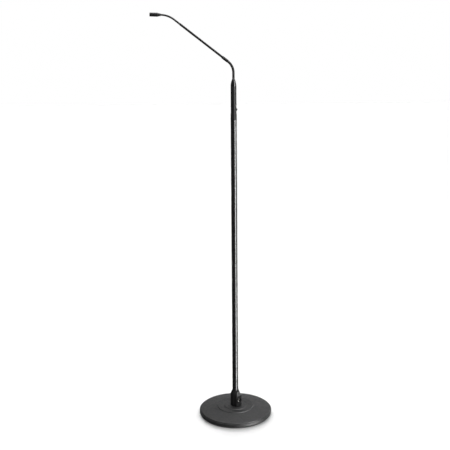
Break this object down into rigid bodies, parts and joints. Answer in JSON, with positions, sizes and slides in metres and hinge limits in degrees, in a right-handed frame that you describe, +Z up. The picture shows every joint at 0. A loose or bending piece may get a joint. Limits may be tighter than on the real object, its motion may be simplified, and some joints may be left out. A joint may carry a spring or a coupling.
{
  "type": "microphone floor stand",
  "caption": "Tall microphone floor stand: round cast-iron base, slim pole with an audio outlet at its foot and a latching socket on top, gooseneck microphone plugged in.",
  "frame": {"origin": "on the floor, on the pole's axis, at the middle of the underside of the floor pad", "axes": "+Z up along the pole; the microphone arm leans towards -X in the XZ plane; the push latch faces +X; the outlet in the housing faces 42 degrees from -Y towards +X"},
  "size_m": [0.3875, 0.25, 1.3629],
  "materials": {
    "cast_iron_black": "fine textured matte powder coat",
    "rubber_black": "matte",
    "zinc_steel": "zinc plated",
    "housing_black": "fine textured satin",
    "badge_grey": "satin",
    "screw_black": "blackened",
    "connector_black": "black chromated satin",
    "insulator_black": "matte",
    "contact_silver": "silver plated",
    "pole_black": "semi-gloss powder coat",
    "cable_jacket": "matte",
    "latch_black": "satin",
    "board_green": "solder mask",
    "neck_gloss": "gloss",
    "gooseneck_black": "black wound steel",
    "mic_black": "black anodised satin",
    "capsule_gold": "bright"
  },
  "bodies": {
    "stand": {"base_plate": "cast_iron_black", "rim_ring": "rubber_black", "floor_pad": "rubber_black", "base_washer": "zinc_steel", "spring_washer": "zinc_steel", "base_bolt": "zinc_steel", "connector_housing": "housing_black", "pole_screw_1": "screw_black", "pole_screw_2": "screw_black", "outlet_screw": "screw_black", "housing_badge": "badge_grey", "outlet_shell": "connector_black", "outlet_insulator": "insulator_black", "outlet_pin_1": "contact_silver", "outlet_pin_2": "contact_silver", "outlet_pin_3": "contact_silver", "pole_tube": "pole_black", "cable_grommet": "rubber_black", "signal_cable": "cable_jacket", "top_collar": "connector_black", "collar_screw": "screw_black", "socket_shell": "connector_black", "socket_insulator": "insulator_black", "socket_contact_1": "contact_silver", "socket_contact_2": "contact_silver", "socket_contact_3": "contact_silver"},
    "latch": {"push_latch": "latch_black"},
    "plug": {"plug_sleeve": "connector_black", "plug_screw": "screw_black", "plug_insert": "insulator_black", "plug_pin_1": "contact_silver", "plug_pin_2": "contact_silver", "plug_pin_3": "contact_silver", "preamp_board": "board_green", "plug_neck": "neck_gloss", "lower_neck_0": "gooseneck_black"},
    "lower_1": {"lower_neck_1": "gooseneck_black"},
    "lower_2": {"lower_neck_2": "gooseneck_black"},
    "lower_3": {"lower_neck_3": "gooseneck_black"},
    "lower_4": {"lower_neck_4": "gooseneck_black"},
    "lower_5": {"lower_neck_5": "gooseneck_black"},
    "arm": {"lower_neck_6": "gooseneck_black", "arm_ferrule": "mic_black", "arm_tube": "mic_black", "upper_neck_0": "gooseneck_black"},
    "upper_1": {"upper_neck_1": "gooseneck_black"},
    "upper_2": {"upper_neck_2": "gooseneck_black"},
    "upper_3": {"upper_neck_3": "gooseneck_black"},
    "upper_4": {"upper_neck_4": "gooseneck_black"},
    "upper_5": {"upper_neck_5": "gooseneck_black"},
    "head": {"upper_neck_6": "gooseneck_black", "mic_body": "mic_black", "mic_grille": "mic_black", "capsule_mount": "rubber_black", "mic_capsule": "capsule_gold"}
  },
  "joints": [
    {"name": "latch_press", "type": "hinge", "parent": "stand", "child": "latch", "pos_m": [0.007, 0, 1.0508], "axis": [0, -1, 0], "range_deg": [0, 5], "stiffness_Nm_per_rad": 0.2, "springref_deg": -5.73},
    {"name": "unplug", "type": "slide", "parent": "stand", "child": "plug", "axis": [0, 0, 1], "range_m": [0, 0.025]},
    {"name": "lower_pitch_1", "type": "hinge", "parent": "plug", "child": "lower_1", "pos_m": [0, 0, 1.15907], "axis": [0, 1, 0], "range_deg": [-8, 17.3]},
    {"name": "lower_side_1", "type": "hinge", "parent": "lower_1", "child": "lower_2", "pos_m": [0, 0, 1.16921], "axis": [1, 0, 0], "range_deg": [-15, 15]},
    {"name": "lower_pitch_2", "type": "hinge", "parent": "lower_2", "child": "lower_3", "pos_m": [-0.00024, 0, 1.17935], "axis": [0, 1, 0], "range_deg": [-8, 17.3]},
    {"name": "lower_side_2", "type": "hinge", "parent": "lower_3", "child": "lower_4", "pos_m": [-0.00243, 0, 1.18923], "axis": [0.9447, 0, 0.3279], "range_deg": [-15, 15]},
    {"name": "lower_pitch_3", "type": "hinge", "parent": "lower_4", "child": "lower_5", "pos_m": [-0.00683, 0, 1.19834], "axis": [0, 1, 0], "range_deg": [-8, 17.3]},
    {"name": "lower_side_3", "type": "hinge", "parent": "lower_5", "child": "arm", "pos_m": [-0.01319, 0, 1.20621], "axis": [0.7002, 0, 0.7139], "range_deg": [-15, 15]},
    {"name": "upper_pitch_1", "type": "hinge", "parent": "arm", "child": "upper_1", "pos_m": [-0.17278, 0, 1.33055], "axis": [0, 1, 0], "range_deg": [-12, 11.9]},
    {"name": "upper_side_1", "type": "hinge", "parent": "upper_1", "child": "upper_2", "pos_m": [-0.18153, 0, 1.33735], "axis": [0.6135, 0, 0.7897], "range_deg": [-15, 15]},
    {"name": "upper_pitch_2", "type": "hinge", "parent": "upper_2", "child": "upper_3", "pos_m": [-0.19044, 0, 1.34394], "axis": [0, 1, 0], "range_deg": [-12, 11.9]},
    {"name": "upper_side_2", "type": "hinge", "parent": "upper_3", "child": "upper_4", "pos_m": [-0.20016, 0, 1.34923], "axis": [0.4092, 0, 0.9125], "range_deg": [-15, 15]},
    {"name": "upper_pitch_3", "type": "hinge", "parent": "upper_4", "child": "upper_5", "pos_m": [-0.21059, 0, 1.35298], "axis": [0, 1, 0], "range_deg": [-12, 11.9]},
    {"name": "upper_side_3", "type": "hinge", "parent": "upper_5", "child": "head", "pos_m": [-0.22146, 0, 1.35507], "axis": [0.1134, 0, 0.9936], "range_deg": [-15, 15]}
  ],
  "couplings": [
    {"joint": "lower_pitch_2", "follows": "lower_pitch_1", "ratio": 1},
    {"joint": "lower_side_2", "follows": "lower_side_1", "ratio": 1},
    {"joint": "lower_pitch_3", "follows": "lower_pitch_1", "ratio": 1},
    {"joint": "lower_side_3", "follows": "lower_side_1", "ratio": 1},
    {"joint": "upper_pitch_2", "follows": "upper_pitch_1", "ratio": 1},
    {"joint": "upper_side_2", "follows": "upper_side_1", "ratio": 1},
    {"joint": "upper_pitch_3", "follows": "upper_pitch_1", "ratio": 1},
    {"joint": "upper_side_3", "follows": "upper_side_1", "ratio": 1}
  ]
}
